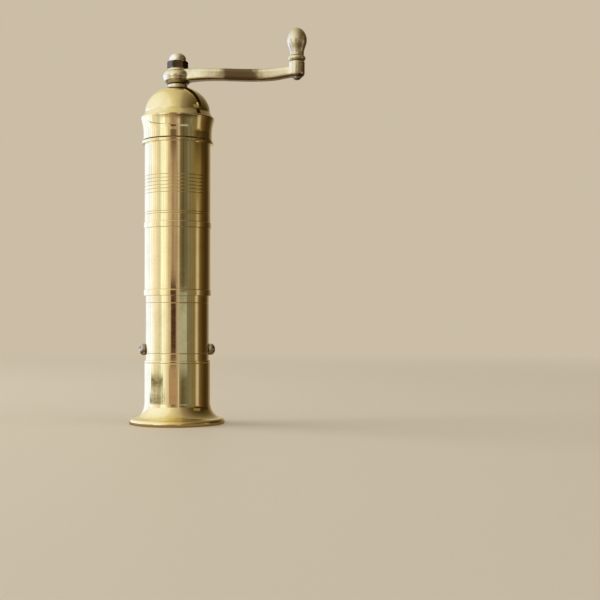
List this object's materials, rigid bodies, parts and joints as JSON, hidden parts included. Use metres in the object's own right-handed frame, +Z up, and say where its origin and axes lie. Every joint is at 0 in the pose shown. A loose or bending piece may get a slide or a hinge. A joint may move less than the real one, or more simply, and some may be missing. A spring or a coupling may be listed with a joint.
{
  "type": "pepper mill",
  "caption": "Tall hand-cranked cylindrical brass pepper mill with domed lid, flared foot, pull-off receiver, conical burrs and a knobbed crank.",
  "frame": {"origin": "centre of the foot's underside, on the table", "axes": "+Z up along the mill's own axis; the crank points along +X at rest"},
  "size_m": [0.1219, 0.0644, 0.2661],
  "materials": {
    "brass": "polished",
    "pale_brass": "polished",
    "steel": "satin",
    "dark_steel": "satin",
    "bronze": "satin"
  },
  "bodies": {
    "receiver": {"receiver_cup": "brass", "receiver_tray": "brass"},
    "mill_body": {"mechanism_tube": "brass", "burr_carrier": "pale_brass", "outer_burr": "dark_steel", "side_screws": "steel", "screw_bar": "steel", "bar_screws": "steel", "lock_spring": "steel", "burr_spring": "steel", "top_bearing": "pale_brass", "spindle_bush": "bronze", "hopper_tube": "brass"},
    "thrust": {"thrust_ball": "steel"},
    "adjuster": {"adjusting_screw": "pale_brass"},
    "spindle": {"spindle": "steel", "inner_burr": "dark_steel", "burr_pin": "steel", "spring_washer": "steel"},
    "lid": {"lid_collar": "brass", "lid_dome": "brass", "lid_bush": "pale_brass"},
    "crank": {"crank_arm": "pale_brass"},
    "cap_nut": {"cap_nut": "pale_brass"},
    "knob": {"knob": "pale_brass", "knob_pin": "steel", "pin_washer": "steel"}
  },
  "joints": [
    {"name": "mill_lift", "type": "slide", "parent": "receiver", "child": "mill_body", "axis": [0, 0, 1], "range_m": [0, 0.06]},
    {"name": "grind_turn", "type": "hinge", "parent": "thrust", "child": "adjuster", "pos_m": [0, 0, 0.025], "axis": [0, 0, 1], "range_deg": [0, 360]},
    {"name": "burr_rise", "type": "slide", "parent": "mill_body", "child": "thrust", "axis": [0, 0, 1], "range_m": [0, 0.001], "deforming": ["burr_spring", "lock_spring"]},
    {"name": "crank_turn", "type": "hinge", "parent": "thrust", "child": "spindle", "pos_m": [0, 0, 0.15], "axis": [0, 0, 1], "continuous": true},
    {"name": "lid_lift", "type": "slide", "parent": "mill_body", "child": "lid", "axis": [0, 0, 1], "range_m": [0, 0.08]},
    {"name": "crank_off", "type": "slide", "parent": "spindle", "child": "crank", "axis": [0, 0, 1], "range_m": [0, 0.104]},
    {"name": "nut_off", "type": "slide", "parent": "crank", "child": "cap_nut", "axis": [0, 0, 1], "range_m": [0, 0.032]},
    {"name": "knob_spin", "type": "hinge", "parent": "crank", "child": "knob", "pos_m": [0.083, 0, 0.245], "axis": [0, 0, 1], "continuous": true}
  ],
  "couplings": [
    {"joint": "grind_turn", "follows": "burr_rise", "rad_per_m": 6283.2},
    {"joint": "crank_off", "follows": "lid_lift", "ratio": 1.3},
    {"joint": "nut_off", "follows": "lid_lift", "ratio": 0.4}
  ]
}
